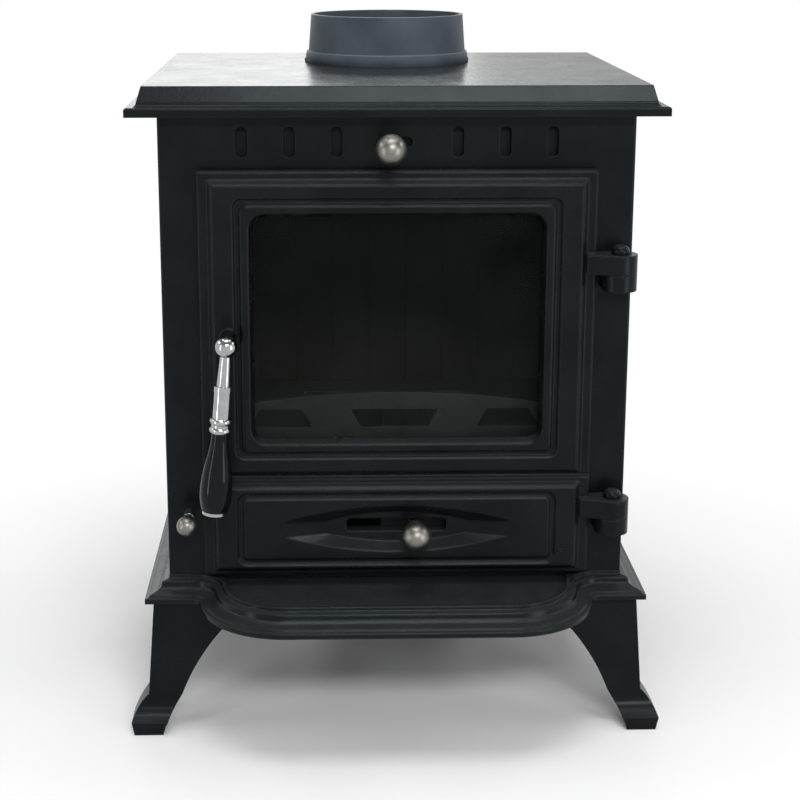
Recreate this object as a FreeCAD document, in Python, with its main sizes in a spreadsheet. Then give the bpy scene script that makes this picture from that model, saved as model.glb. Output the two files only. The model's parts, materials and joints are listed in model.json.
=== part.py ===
import FreeCAD, Part
import math
import os
import re
import Sketcher

# A small cast-iron room stove. Millimetres, +X to the right, +Y to the back, +Z up.
# Pieces are drawn with the front plate's face at y = 0 and the floor at z = 0, and are
# then moved along Y so that the origin is on the floor under the middle of the stove.

# Driving dimensions
SIZES = {
    # body
    "body_width": 360,
    "body_depth": 310,
    "body_height": 365,
    "base_top": 128,
    "front_wall": 8,
    "side_wall": 6,
    "back_wall": 6,
    "side_panel_border": 28,
    "side_panel_depth": 1.5,
    "side_panel_corner": 11,
    "back_panel_high": 318,
    # clearances
    "slack": 0.3,
    "running": 0.06,
    # base moulding, from its lower edge upwards
    "edge_band": 4,
    "edge_ledge": 3.4,
    "edge_rise": 0.7,
    "step_rise": 1,
    "slope_in": 6,
    "slope_rise": 2,
    "cove_in": 3.4,
    "cove_rise": 6,
    "cove_lead": 0.75,
    "cove_foot": 0.3,
    "ledge_in": 5.2,
    "ledge_rise": 1.2,
    "top_band": 2.8,
    # ash lip
    "ash_lip_width": 309,
    "ash_lip_reach": 68,
    "ash_lip_corner": 69,
    "ash_lip_root": 8,
    "tray_rim": 3,
    "tray_depth": 3,
    "base_skin": 8,
    "base_foot_pad": 82,
    # top plate
    "top_rise": 22,
    "top_side_reach": 22.5,
    "top_front_reach": 16.5,
    "top_skin": 8,
    "top_seat": 6,
    "lip_band": 5,
    "lip_round": 2,
    "lip_ledge": 3.2,
    "top_cove": 3.3,
    "top_slope": 3.5,
    # flue
    "flue_setback": 90,
    "flue_bore": 126.5,
    "flue_ledge": 5,
    "collar_height": 41,
    "collar_foot": 139,
    "collar_foot_rise": 9.5,
    "collar_bead": 12,
    "collar_low": 136.2,
    "collar_rim": 131.5,
    "collar_lug": 4,
    "collar_lug_rise": 3.2,
    # legs
    "leg_face": 8,
    "leg_shoulder": 12,
    "ankle_out": 18,
    "ankle_rise": 30,
    "instep_rise": 25,
    "toe_out": 31,
    "toe_reach": 24,
    "toe_rise": 11.3,
    "toe_tuck": 2,
    "heel_out": 6,
    "heel_rise": 8,
    "shin_width": 27,
    "instep_radius": 15.5,
    "side_flare_radius": 60,
    "leg_top_width": 74,
    "leg_arch_radius": 175,
    "leg_arch_rise": 104,
    "leg_wall": 8,
    "foot_solid": 24,
    "leg_bolt": 8,
    "leg_bolt_flats": 13,
    "leg_bolt_head": 5.5,
    "leg_bolt_inset": 34,
    "leg_bolt_grip": 10,
    # rear outlet
    "outlet_drop": 82,
    "cover_disc": 152,
    "cover_thick": 6,
    "cover_bolt_spread": 138,
    "cover_bolt_head": 9,
    "cover_bolt_rise": 4,
    # tie rods
    "tie_rod": 8,
    "tie_front_x": 152,
    "tie_rear_x": 164,
    "tie_inset": 10,
    # front plate openings
    "opening_width": 277,
    "opening_low": 147,
    "opening_high": 438,
    "opening_corner": 6,
    "vent_level": 472.7,
    "vent_width": 9,
    "vent_height": 23,
    "vent_pitch": 35.7,
    "vent_first": 45.7,
    "vent_play": 1,
    "slot_round": 0.45,
    "knob_slot_length": 22.8,
    "knob_slot_height": 8,
    # hinges
    "hinge_inset": 11.5,
    "hinge_stand": 14,
    "hinge_upper": 374,
    "hinge_lower": 180,
    "knuckle": 26,
    "knuckle_height": 14.7,
    "lug_height": 12.7,
    "hinge_pin": 8,
    "pin_head": 13.6,
    "pin_head_rise": 6.5,
    "pin_head_round": 4.9,
    "knuckle_root": 7.8,
    "knuckle_back": 2,
    # door
    "door_gap": 3,
    "door_slab": 11,
    "door_width": 301,
    "door_low": 132.6,
    "door_high": 452.5,
    "door_edge_round": 1.6,
    "plate_edge_round": 2,
    "panel_raise": 5,
    "panel_width": 278,
    "panel_bevel": 38,
    "panel_round": 2,
    "upper_panel_low": 219.5,
    "upper_panel_high": 442.5,
    "lower_panel_low": 140,
    "lower_panel_high": 204.5,
    "seam_level": 213.5,
    "seam_half": 2,
    "seam_depth": 3,
    "window_width": 224,
    "window_low": 241.5,
    "window_high": 421,
    "window_corner": 12,
    "window_slope": 14,
    "bead_width": 7.5,
    "bead_corner": 6,
    "bead_round": 2.8,
    "groove_width": 3.5,
    "groove_depth": 3.2,
    "groove_bevel": 1.5,
    "frame_groove_width": 243,
    "frame_groove_low": 145,
    "frame_groove_high": 199,
    "frame_groove": 3.2,
    "frame_groove_depth": 2.2,
    "frame_groove_corner": 7,
    # glass and its seat
    "glass_thick": 4,
    "gasket_thick": 2.2,
    "glass_overlap": 6,
    "glass_play": 0.5,
    "gasket_width": 7,
    "clip_width": 18,
    "clip_offset": 55,
    "clip_length": 15,
    "clip_thick": 1.5,
    "clip_bite": 6,
    # door rope
    "rope_width": 8,
    "rope_margin": 3,
    "rope_groove": 4,
    # boat-shaped recess and its air slot
    "dish_level": 172,
    "dish_length": 184,
    "dish_height": 38,
    "dish_tip": 7,
    "dish_floor_length": 112,
    "dish_floor_height": 24,
    "dish_floor_tip": 6,
    "dish_depth": 6,
    "air_slot_level": 173.5,
    "air_slot_length": 78,
    "air_slot_height": 10.4,
    "air_slot_corner": 3.1,
    "air_slider_thick": 2,
    "air_slider_height": 21,
    "air_slider_left": 74,
    "air_slider_right": 88,
    "air_window_far": 64,
    "air_window_near": 12,
    "air_knob_x": 14,
    "air_knob_reach": 37,
    "air_knob_ball": 22.6,
    "air_knob_neck": 8,
    "air_knob_collar": 14.4,
    "air_guide_half": 118,
    # bulge on each knob's stem, as a share of its width
    "collar_span": 0.7,
    # sheet guides of both sliders
    "guide_foot": 4.6,
    "guide_lap": 3,
    "guide_sheet": 2,
    # airwash slider
    "airwash_thick": 3,
    "airwash_left": 141,
    "airwash_right": 128,
    "airwash_travel": 14,
    "airwash_height": 27,
    "airwash_guide_half": 142,
    "airwash_knob_x": 6.5,
    "airwash_knob_reach": 44,
    "airwash_knob_ball": 22.6,
    "airwash_knob_neck": 7,
    "airwash_knob_collar": 11,
    # latch and handle
    "latch_x": 128.3,
    "latch_z": 327,
    "spindle": 8,
    "boss": 13,
    "boss_rise": 2,
    "cam_length": 22,
    "cam_width": 10,
    "cam_corner": 3,
    "cam_thick": 6,
    "latch_nut_flats": 10,
    "latch_nut": 5,
    "handle_stand": 29,
    "handle_tilt": 5,
    "handle_ball": 17,
    "handle_hub": 13,
    "hub_gap": 1,
    "neck_top": 8.4,
    "neck_low": 10.6,
    "neck_length": 30,
    "shoulder": 14,
    "shoulder_length": 4.6,
    "ferrule": 13.4,
    "ferrule_length": 20,
    "ring": 17.6,
    "ring_length": 5,
    "ring_round": 3,
    "ring_gap": 1.8,
    "ring_waist": 14.4,
    "grip_top": 13,
    "grip_neck": 18.4,
    "grip_belly": 24.8,
    "grip_end": 20,
    "grip_length": 61.5,
    "grip_neck_at": 21,
    "grip_belly_at": 47,
    "grip_neck_radius": 88,
    "grip_flank_radius": 112,
    "grip_base_radius": 45,
    "cap": 19,
    "cap_length": 5,
    "cap_radius": 22,
    # riddling gear
    "riddle_x": 162.5,
    "riddle_z": 180,
    "riddle_rod": 8,
    "riddle_bend": 15,
    "riddle_knob_reach": 30,
    "riddle_rod_out": 13,
    "riddle_knob_ball": 15.6,
    "riddle_knob_neck": 7,
    "riddle_knob_collar": 10.4,
    "riddle_pin": 6,
    "riddle_pin_y": 190,
    # grate
    "grate_low": 203,
    "grate_thick": 9,
    "grate_front": 34,
    "grate_back": 278,
    "grate_ledge": 12,
    "grate_ledge_thick": 6,
    "grate_well_width": 150,
    "grate_well_front": 66,
    "grate_well_back": 230,
    "grate_well_depth": 4,
    "grate_slot": 8,
    "grate_slot_pitch": 20,
    "grate_slot_end": 14,
    "shaker_play": 3,
    "shaker_length": 122,
    # linings
    "liner_thick": 12,
    "liner_height": 188,
    "liner_groove": 6,
    "liner_groove_depth": 2.5,
    "liner_groove_pitch": 34,
    "baffle_thick": 6,
    "baffle_front": 112,
    # log guard
    "guard_front": 36,
    "guard_thick": 6,
    "guard_height": 55,
    "guard_sag": 18,
    "guard_window_low": 26,
    "guard_window_high": 41,
    "guard_window_half": 27,
    "guard_window_lean": 8,
    "guard_side_start": 66,
    "guard_side_length": 50,
    # ash pan
    "pan_width": 208,
    "pan_front": 16,
    "pan_length": 246,
    "pan_height": 38,
    "pan_wall": 2.5,
    "pan_rim": 5,
    "pan_rim_thick": 2,
}

# Places worked out from the driving dimensions
PLACES = {
    "half_width": "body_width / 2",
    "inside_half": "half_width - side_wall",
    "inside_back": "body_depth - back_wall",
    "body_top": "base_top + body_height",
    "base_flare": "edge_ledge + slope_in + cove_in + ledge_in",
    "base_height": "edge_band + edge_rise + step_rise + slope_rise + cove_rise + ledge_rise + top_band",
    "base_bottom": "base_top - base_height",
    "lip_front": "-(base_flare + ash_lip_reach)",
    "rear_reach": "body_depth + toe_reach",
    "front_y": "-(rear_reach + lip_front) / 2",
    "lip_corner_x": "ash_lip_width / 2 - ash_lip_corner",
    "lip_corner_y": "lip_front + ash_lip_corner",
    "lip_root_y": "-base_flare - ash_lip_root",
    "lip_span": "ash_lip_corner + ash_lip_root",
    "lip_root_x": "lip_corner_x + sqrt(lip_span ^ 2 - (lip_corner_y - lip_root_y) ^ 2)",
    "top_level": "body_top + top_rise",
    "top_ceiling": "top_level - top_skin",
    "lip_half": "half_width + top_side_reach",
    "lip_shoulder": "lip_band + lip_round",
    "lip_run": "lip_round + lip_ledge",
    "flue_y": "body_depth - flue_setback",
    "outlet_level": "body_top - outlet_drop",
    "leg_plate_low": "base_bottom - leg_wall",
    "hinge_x": "half_width - hinge_inset",
    "lug": "knuckle / 2",
    "door_half": "door_width / 2",
    "door_back": "-door_gap",
    "door_face": "-(door_gap + door_slab)",
    "panel_face": "door_face - panel_raise",
    "rebate_depth": "gasket_thick + glass_thick + slack",
    "rebate_half": "window_width / 2 + glass_overlap",
    "rebate_low": "window_low - glass_overlap",
    "rebate_high": "window_high + glass_overlap",
    "glass_front": "door_back - slack - glass_thick",
    "groove_out": "bead_width + groove_width",
    "air_slider_front": "door_back + slack",
    "air_slider_low": "air_slot_level - air_slider_height / 2",
    "air_slider_high": "air_slot_level + air_slider_height / 2",
    "airwash_front": "front_wall + slack",
    "airwash_low": "vent_level - airwash_height / 2",
    "airwash_high": "vent_level + airwash_height / 2",
    "cam_front": "front_wall + slack",
    "handle_y": "panel_face - handle_stand",
    "hub_end": "panel_face - boss_rise - hub_gap",
    "ferrule_top": "neck_length + shoulder_length",
    "ring_top": "ferrule_top + ferrule_length",
    "grip_start": "ring_top + 2 * ring_length + ring_gap",
    "grip_finish": "grip_start + grip_length",
    "grate_top": "grate_low + grate_thick",
    "well_floor": "grate_top - grate_well_depth",
    "liner_inner": "inside_half - liner_thick",
    "liner_top": "grate_top + liner_height",
    "shaker_back": "grate_well_back - shaker_play",
    "riddle_seat": "-riddle_rod_out",
    "guard_half": "liner_inner - slack",
    "pin_head_seat": "knuckle_height + 2 * slack",
    "pan_half": "pan_width / 2",
    "pan_back": "pan_front + pan_length",
}

doc = FreeCAD.newDocument("stove")
sheet = doc.addObject("Spreadsheet::Sheet", "Sizes")
for row, (alias, size) in enumerate(SIZES.items(), start=1):
    sheet.set("A%d" % row, alias)
    sheet.set("B%d" % row, str(size))
    sheet.setAlias("B%d" % row, alias)
doc.recompute()

pieces = []


def full(text):
    """Spells a formula out in sheet cells."""

    def swap(match):
        word = match.group(0)
        if word in PLACES:
            return "(" + full(PLACES[word]) + ")"
        if word in SIZES:
            return "Sizes." + word
        return word

    return re.sub(r"[a-z_]+", swap, text)


def number(text):
    """A formula's value."""
    return float(sheet.evalExpression(full(text)))


def bind(thing, formulas):
    for name, text in formulas.items():
        thing.setExpression(name, full(text))


def add(*terms):
    return " + ".join("(%s)" % term for term in terms)


def minus(text):
    return "-(%s)" % text


def settle(thing, label, x="0", y="0", z="0"):
    """Names a piece and binds its place, given in the drawing's frame."""
    thing.Label = label
    bind(thing, {"Placement.Base.x": x, "Placement.Base.y": add("front_y", y), "Placement.Base.z": z})
    pieces.append(thing)


def new_body(label, x="0", y="0", z="0"):
    body = doc.addObject("PartDesign::Body", label)
    body.AllowCompound = True
    settle(body, label, x, y, z)
    return body


def sketch_on(body, plane, level):
    """A sketch square to one axis, at a level along it. plane is XY, XZ or YZ."""
    sketch = body.newObject("Sketcher::SketchObject", "sketch")
    for feature in body.Origin.OriginFeatures:
        if feature.Role == plane + "_Plane":
            sketch.AttachmentSupport = [(feature, "")]
    sketch.MapMode = "FlatFace"
    away = minus(level) if plane == "XZ" else level
    bind(sketch, {"AttachmentOffset.Base.z": away})
    return sketch


def stretch(start, end, radius):
    """A line, or an arc that turns left for a positive radius, with its start and end numbers."""
    if radius == 0:
        return Part.LineSegment(start, end), 1, 2
    chord = end - start
    half = chord.Length / 2
    left = FreeCAD.Vector(-chord.y, chord.x, 0).normalize()
    offset = math.sqrt(max(radius * radius - half * half, 0))
    centre = (start + end) / 2 + left * math.copysign(offset, radius)
    first, last = (start, end) if radius > 0 else (end, start)
    turn = [math.atan2(p.y - centre.y, p.x - centre.x) for p in (first, last)]
    circle = Part.Circle(centre, FreeCAD.Vector(0, 0, 1), abs(radius))
    arc = Part.ArcOfCircle(circle, turn[0], turn[1])
    return (arc, 1, 2) if radius > 0 else (arc, 2, 1)


def ways(corner, spot):
    """A corner's two distances from the sketch's origin: kind, formula and value."""
    return ("DistanceX", corner[0], spot.x), ("DistanceY", corner[1], spot.y)


def outline(sketch, path, closed=True):
    """A chain of lines and arcs. A corner is (x, y), or (x, y, radius) before an arc."""
    first = sketch.GeometryCount
    spots = [FreeCAD.Vector(number(c[0]), number(c[1]), 0) for c in path]
    count = len(path) if closed else len(path) - 1
    shapes, ends = [], []
    for i in range(count):
        radius = number(path[i][2]) if len(path[i]) > 2 else 0
        shape, start, end = stretch(spots[i], spots[(i + 1) % len(path)], radius)
        shapes.append(shape)
        ends.append((start, end))
    sketch.addGeometry(shapes, False)
    ties, formulas = [], []
    for i in range(count):
        here = first + i
        if closed or i < count - 1:
            after = (i + 1) % count
            ties.append(Sketcher.Constraint("Coincident", here, ends[i][1], first + after, ends[after][0]))
            formulas.append(None)
        for axis, text, value in ways(path[i], spots[i]):
            ties.append(Sketcher.Constraint(axis, -1, 1, here, ends[i][0], value))
            formulas.append(text)
        if len(path[i]) > 2:
            ties.append(Sketcher.Constraint("Radius", here, abs(number(path[i][2]))))
            formulas.append("abs(%s)" % path[i][2])
    if not closed:
        for axis, text, value in ways(path[-1], spots[-1]):
            ties.append(Sketcher.Constraint(axis, -1, 1, first + count - 1, ends[-1][1], value))
            formulas.append(text)
    drive(sketch, ties, formulas)


def circle(sketch, x, y, radius):
    centre = FreeCAD.Vector(number(x), number(y), 0)
    ring = sketch.addGeometry(Part.Circle(centre, FreeCAD.Vector(0, 0, 1), number(radius)), False)
    ties = [
        Sketcher.Constraint("DistanceX", -1, 1, ring, 3, centre.x),
        Sketcher.Constraint("DistanceY", -1, 1, ring, 3, centre.y),
        Sketcher.Constraint("Radius", ring, number(radius)),
    ]
    drive(sketch, ties, [x, y, radius])


def drive(sketch, ties, formulas):
    """Adds constraints and binds each one that has a formula."""
    places = sketch.addConstraint(ties)
    for place, text in zip(places, formulas):
        if text is not None:
            sketch.setExpression("Constraints[%d]" % place, full(text))


def draw(sketch, loops):
    """Draws loops: a path is a list, a circle a tuple of x, y and radius."""
    for loop in loops:
        if isinstance(loop, tuple):
            circle(sketch, *loop)
        else:
            outline(sketch, loop)


def pad(body, plane, start, length, *loops, bevel=None):
    """Adds material from a level, towards the axis's positive end. A bevel widens it that way."""
    sketch = sketch_on(body, plane, start)
    draw(sketch, loops)
    feature = body.newObject("PartDesign::Pad", "pad")
    feature.Profile = sketch
    feature.Reversed = plane == "XZ"
    bind(feature, {"Length": length})
    if bevel:
        bind(feature, {"TaperAngle": bevel})
    return feature


def pocket(body, plane, start, length, *loops, bevel=None):
    """Takes material away from a level, towards the axis's positive end."""
    sketch = sketch_on(body, plane, start)
    draw(sketch, loops)
    feature = body.newObject("PartDesign::Pocket", "pocket")
    feature.Profile = sketch
    feature.Reversed = plane != "XZ"
    bind(feature, {"Length": length})
    if bevel:
        bind(feature, {"TaperAngle": bevel})
    return feature


def revolve(body, plane, path):
    """Turns a half section about the sketch's upright axis."""
    sketch = sketch_on(body, plane, "0")
    outline(sketch, path)
    feature = body.newObject("PartDesign::Revolution", "turned")
    feature.Profile = sketch
    feature.ReferenceAxis = (sketch, ["V_Axis"])
    feature.Angle = 360
    return feature


def loft(body, kind, plane, sections):
    """A ruled solid through sections, each a level and a path."""
    sketches = []
    for level, path in sections:
        sketch = sketch_on(body, plane, level)
        outline(sketch, path)
        sketches.append(sketch)
    feature = body.newObject("PartDesign::" + kind, "loft")
    feature.Profile = sketches[0]
    feature.Sections = sketches[1:]
    feature.Ruled = True
    return feature


def dress_edges(body, kind, measure, size, chosen):
    """Works the edges whose box the function picks."""
    doc.recompute()
    base = body.Tip
    names = ["Edge%d" % (i + 1) for i, edge in enumerate(base.Shape.Edges) if chosen(edge.BoundBox)]
    feature = body.newObject("PartDesign::" + kind, "edges")
    feature.Base = (base, names)
    bind(feature, {measure: size})
    return feature


def round_edges(body, radius, chosen):
    return dress_edges(body, "Fillet", "Radius", radius, chosen)


def bevel_edges(body, size, chosen):
    return dress_edges(body, "Chamfer", "Size", size, chosen)


def rect(low_x, high_x, low_y, high_y):
    return [(low_x, low_y), (high_x, low_y), (high_x, high_y), (low_x, high_y)]


def round_rect(low_x, high_x, low_y, high_y, radius):
    left, right = add(low_x, radius), add(high_x, minus(radius))
    low, high = add(low_y, radius), add(high_y, minus(radius))
    return [
        (left, low_y), (right, low_y, radius), (high_x, low), (high_x, high, radius),
        (right, high_y), (left, high_y, radius), (low_x, high), (low_x, low, radius),
    ]


def centred(half, low, high, radius):
    return round_rect(minus(half), half, low, high, radius)


def mirror_x(path):
    return [(minus(c[0]), c[1]) + tuple(minus(r) for r in c[2:]) for c in path]


def mirror_depth(path):
    return [(add("body_depth", minus(c[0])), c[1]) + tuple(minus(r) for r in c[2:]) for c in path]


def hexagon(x, y, flats):
    """Six corners round a centre, by the width across the flats."""
    corners = []
    for turn in range(0, 360, 60):
        across, up = ("(%s) / sqrt(3) * %s(%d deg)" % (flats, part, turn) for part in ("cos", "sin"))
        corners.append((add(x, across), add(y, up)))
    return corners


def base_outline(inset):
    """The base's plan, drawn in by an inset: a rectangle with the bowed ash lip in front."""
    back = add("body_depth + base_flare", minus(inset))
    side = add("half_width + base_flare", minus(inset))
    front = add("-base_flare", inset)
    lip = add("lip_front", inset)
    corner = add("ash_lip_corner", minus(inset))
    root = add("ash_lip_root", inset)
    meet_x = "lip_corner_x + (%s) * (lip_root_x - lip_corner_x) / lip_span" % corner
    meet_y = "lip_corner_y + (%s) * (lip_root_y - lip_corner_y) / lip_span" % corner
    right = [
        ("lip_corner_x", lip, corner), (meet_x, meet_y, minus(root)), ("lip_root_x", front),
        (side, front), (side, back),
    ]
    left = [
        (minus(side), back), (minus(side), front), (minus("lip_root_x"), front, minus(root)),
        (minus(meet_x), meet_y, corner), (minus("lip_corner_x"), lip),
    ]
    return right + left


def base_plate():
    body = new_body("base_plate")
    insets = ["0", "0", "edge_ledge", "edge_ledge", "edge_ledge + slope_in"]
    insets += ["edge_ledge + slope_in + cove_lead * cove_in", "edge_ledge + slope_in + cove_in"]
    insets += ["base_flare", "base_flare"]
    rises = ["0", "edge_band", "edge_rise", "step_rise", "slope_rise"]
    rises += ["cove_foot * cove_rise", "(1 - cove_foot) * cove_rise", "ledge_rise", "top_band"]
    level, sections = "base_bottom", []
    for inset, rise in zip(insets, rises):
        level = add(level, rise)
        sections.append((level, base_outline(inset)))
    loft(body, "AdditiveLoft", "XY", sections)
    tray = base_outline("base_flare + tray_rim")
    tray_end = "lip_root_x - ash_lip_root - base_flare"
    tray = [tray[0], tray[1][:2], (tray_end, "-slack"), (minus(tray_end), "-slack"), tray[8], tray[9]]
    pocket(body, "XY", "base_top - tray_depth", "tray_depth", tray)
    wide, narrow = "half_width - 2 * leg_wall", "half_width - base_foot_pad"
    near, far = "2 * leg_wall", "body_depth - 2 * leg_wall"
    low, high = "base_foot_pad", "body_depth - base_foot_pad"
    right = [(narrow, near), (narrow, low), (wide, low), (wide, high), (narrow, high), (narrow, far)]
    hollow = right + mirror_x(right[::-1])
    pocket(body, "XY", "base_bottom", "base_height - base_skin", hollow)
    holes = [(x, y, "leg_bolt / 2 + running") for x, y in leg_bolt_spots()]
    pocket(body, "XY", "base_bottom", "leg_bolt_grip", *holes)
    return body


def leg_bolt_spots():
    spots = []
    for side in ("-", ""):
        for y in ("leg_bolt_inset", "body_depth - leg_bolt_inset"):
            spots.append((side + "(half_width - leg_bolt_inset)", y))
    return spots


def leg_front_view():
    """The right leg's silhouette from the front, anticlockwise from the heel."""
    shin = "half_width + ankle_out - shin_width"
    return [
        ("half_width + heel_out", "0"),
        ("half_width + toe_out - toe_tuck", "0"),
        ("half_width + toe_out", "toe_rise", "side_flare_radius"),
        ("half_width + ankle_out", "ankle_rise"),
        ("half_width + leg_shoulder", "base_bottom"),
        ("half_width + leg_shoulder - leg_top_width", "base_bottom"),
        ("half_width + leg_shoulder - leg_top_width", "leg_arch_rise", "-leg_arch_radius"),
        (shin, "ankle_rise"),
        ("half_width + heel_out - toe_tuck", "heel_rise"),
    ]


def leg_side_view():
    """A front leg's silhouette from the left, as depth and height, clockwise from the heel."""
    shin = "shin_width - leg_face - toe_tuck"
    return [
        ("leg_wall - leg_face", "0"),
        ("toe_tuck - toe_reach", "0"),
        ("-toe_reach", "toe_rise", "instep_radius"),
        ("-leg_face - toe_tuck", "instep_rise"),
        ("-leg_face", "base_bottom"),
        ("leg_top_width - leg_face", "base_bottom"),
        ("leg_top_width - leg_face", "leg_arch_rise", "leg_arch_radius"),
        (shin, "ankle_rise"),
        ("leg_wall - leg_face + toe_tuck", "heel_rise"),
    ]


def leg(label, left, rear):
    """A corner leg: two silhouettes crossed, then hollowed behind its two walls."""
    body = new_body(label)
    front, side = leg_front_view(), leg_side_view()
    deep = "leg_top_width + toe_reach + leg_face"
    near = "-toe_reach - leg_face"
    inner = ("half_width + leg_shoulder - leg_top_width - leg_face", "half_width + leg_shoulder - leg_wall")
    hollow = ("leg_wall - leg_face", "leg_top_width + leg_face")
    if left:
        front = mirror_x(front)
        inner = (minus(inner[1]), minus(inner[0]))
    if rear:
        side = mirror_depth(side)
        near = add("body_depth", minus(add(near, deep)))
        hollow = (add("body_depth", minus(hollow[1])), add("body_depth", minus(hollow[0])))
    pad(body, "XZ", near, deep, front)
    wide = "half_width + toe_out + leg_face"
    around = rect(add(near, "-leg_face"), add(near, deep, "leg_face"), "-leg_face", "base_top")
    pocket(body, "YZ", minus(wide), "2 * (%s)" % wide, around, side)
    pocket(body, "XY", "foot_solid", "leg_plate_low - foot_solid", rect(*inner, *hollow))
    spot = ("-" if left else "") + "(half_width - leg_bolt_inset)"
    depth = "body_depth - leg_bolt_inset" if rear else "leg_bolt_inset"
    pocket(body, "XY", "leg_plate_low", "leg_wall", (spot, depth, "leg_bolt / 2 + running"))
    return body


def leg_bolts():
    body = new_body("leg_bolts")
    heads = [hexagon(x, y, "leg_bolt_flats") for x, y in leg_bolt_spots()]
    shanks = [(x, y, "leg_bolt / 2") for x, y in leg_bolt_spots()]
    pad(body, "XY", "leg_plate_low - leg_bolt_head", "leg_bolt_head", *heads)
    pad(body, "XY", "leg_plate_low", "leg_wall + leg_bolt_grip - slack", *shanks)
    return body


def top_profile(low, high):
    """The top plate's section between two ends, with its ogee edge at both."""
    ledge, cove = "body_top + lip_shoulder", "body_top + lip_shoulder + top_cove"
    right = [
        (high, "body_top"), (high, "body_top + lip_band", "lip_round"), (add(high, "-lip_round"), ledge),
        (add(high, "-lip_run"), ledge, "-top_cove"), (add(high, "-lip_run - top_cove"), cove),
        (add(high, "-lip_run - top_cove - top_slope"), "top_level"),
    ]
    left = [
        (add(low, "lip_run + top_cove + top_slope"), "top_level"),
        (add(low, "lip_run + top_cove"), cove, "-top_cove"), (add(low, "lip_run"), ledge),
        (add(low, "lip_round"), ledge, "lip_round"), (low, "body_top + lip_band"), (low, "body_top"),
    ]
    return right + left


def top_plate():
    body = new_body("top_plate")
    near, far = "-top_front_reach", "body_depth + top_front_reach"
    pad(body, "XZ", near, add(far, minus(near)), top_profile("-lip_half", "lip_half"))
    beyond = "top_rise"
    around = rect(add(near, minus(beyond)), add(far, beyond), "body_top - top_rise", "top_level + top_rise")
    pocket(body, "YZ", "-lip_half - top_rise", "2 * (lip_half + top_rise)", around, top_profile(near, far))
    under = rect("top_seat - inside_half", "inside_half - top_seat",
                 "front_wall + top_seat", "inside_back - top_seat")
    pocket(body, "XY", "body_top", "top_rise - top_skin", under)
    pocket(body, "XY", "top_ceiling", "top_skin", ("0", "flue_y", "flue_bore / 2 - flue_ledge"))
    return body


def flue_collar():
    body = new_body("flue_collar", "0", "flue_y", "top_level")
    revolve(body, "XZ", [
        ("flue_bore / 2", "0"), ("collar_foot / 2", "0", "collar_bead"),
        ("collar_foot / 2", "collar_foot_rise"), ("collar_low / 2", "collar_foot_rise"),
        ("collar_rim / 2", "collar_height"), ("flue_bore / 2", "collar_height"),
    ])
    lugs = [(side + "(collar_foot / 2 - collar_lug / 2)", "0", "collar_lug") for side in ("-", "")]
    pad(body, "XY", "0", "collar_lug_rise", *lugs)
    return body


def vent_loops(width, height, shift="0"):
    """Six upright slots, three each side of the middle, all moved along by a shift."""
    loops = []
    for side in (-1, 1):
        for k in range(3):
            x = add("%d * (vent_first + %d * vent_pitch)" % (side, k), shift)
            half = "(%s) / 2" % width
            low, high = "vent_level - (%s) / 2" % height, "vent_level + (%s) / 2" % height
            loops.append(round_rect(add(x, minus(half)), add(x, half), low, high, "slot_round * (%s)" % width))
    return loops


def hinge_plan(reach_back):
    """A frame lug's plan: a round eye on a web that runs back into the plate."""
    return [
        ("hinge_x - lug", reach_back), ("hinge_x - lug", "-hinge_stand", "lug"),
        ("hinge_x", "-hinge_stand - lug", "lug"), ("hinge_x + lug", "-hinge_stand"),
        ("hinge_x + lug", reach_back),
    ]


def front_plate():
    body = new_body("front_plate")
    slot_half = "knob_slot_length / 2"
    loops = [rect("-half_width", "half_width", "base_top", "body_top")]
    loops.append(centred("opening_width / 2", "opening_low", "opening_high", "opening_corner"))
    loops += vent_loops("vent_width", "vent_height")
    loops.append(centred(slot_half, "vent_level - knob_slot_height / 2", "vent_level + knob_slot_height / 2",
                         "slot_round * knob_slot_height"))
    loops.append(("-riddle_x", "riddle_z", "riddle_rod / 2 + running"))
    pad(body, "XZ", "0", "front_wall", *loops)
    for level in ("hinge_upper", "hinge_lower"):
        pad(body, "XY", level + " - lug_height", "lug_height", hinge_plan("front_wall / 2"))
        bore = ("hinge_x", "-hinge_stand", "hinge_pin / 2 + running")
        pocket(body, "XY", level + " - lug_height", "lug_height", bore)
    round_edges(body, "plate_edge_round", is_front_corner)
    return body


def is_front_corner(box):
    """One of the front plate's two outer upright edges, at its face."""
    upright = box.XLength < 0.01 and box.YLength < 0.01 and abs(box.YMax) < 0.01
    return upright and abs(abs(box.XMax) - number("half_width")) < 0.01


def hinge_pins():
    """Two pins with domed heads; the knuckles turn on them."""
    body = new_body("hinge_pins", "hinge_x", "-hinge_stand", "0")
    for level in ("hinge_upper", "hinge_lower"):
        length = "lug_height + pin_head_seat + slack"
        pad(body, "XY", level + " - lug_height", length, ("0", "0", "hinge_pin / 2"))
        pad(body, "XY", level + " + pin_head_seat", "pin_head_rise", ("0", "0", "pin_head / 2"))
    round_edges(body, "pin_head_round", is_dome_rim)
    return body


def is_dome_rim(box):
    """A pin head's top rim."""
    tops = [number(level + " + pin_head_seat + pin_head_rise") for level in ("hinge_upper", "hinge_lower")]
    return box.ZLength < 0.01 and any(abs(box.ZMax - top) < 0.01 for top in tops)


def side_plate(label, left):
    body = new_body(label)
    start = "-half_width" if left else "inside_half"
    pad(body, "YZ", start, "side_wall", rect("front_wall", "inside_back", "base_top", "body_top"))
    border = "side_panel_border"
    panel = round_rect(add("front_wall", border), add("inside_back", minus(border)), add("base_top", border),
                       add("body_top", minus(border)), "side_panel_corner")
    face = "-half_width" if left else "half_width - side_panel_depth"
    pocket(body, "YZ", face, "side_panel_depth", panel)
    ledge = "-inside_half" if left else "inside_half - grate_ledge"
    bar = rect("grate_front", "grate_back", "grate_low - grate_ledge_thick", "grate_low")
    pad(body, "YZ", ledge, "grate_ledge", bar)
    return body


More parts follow.
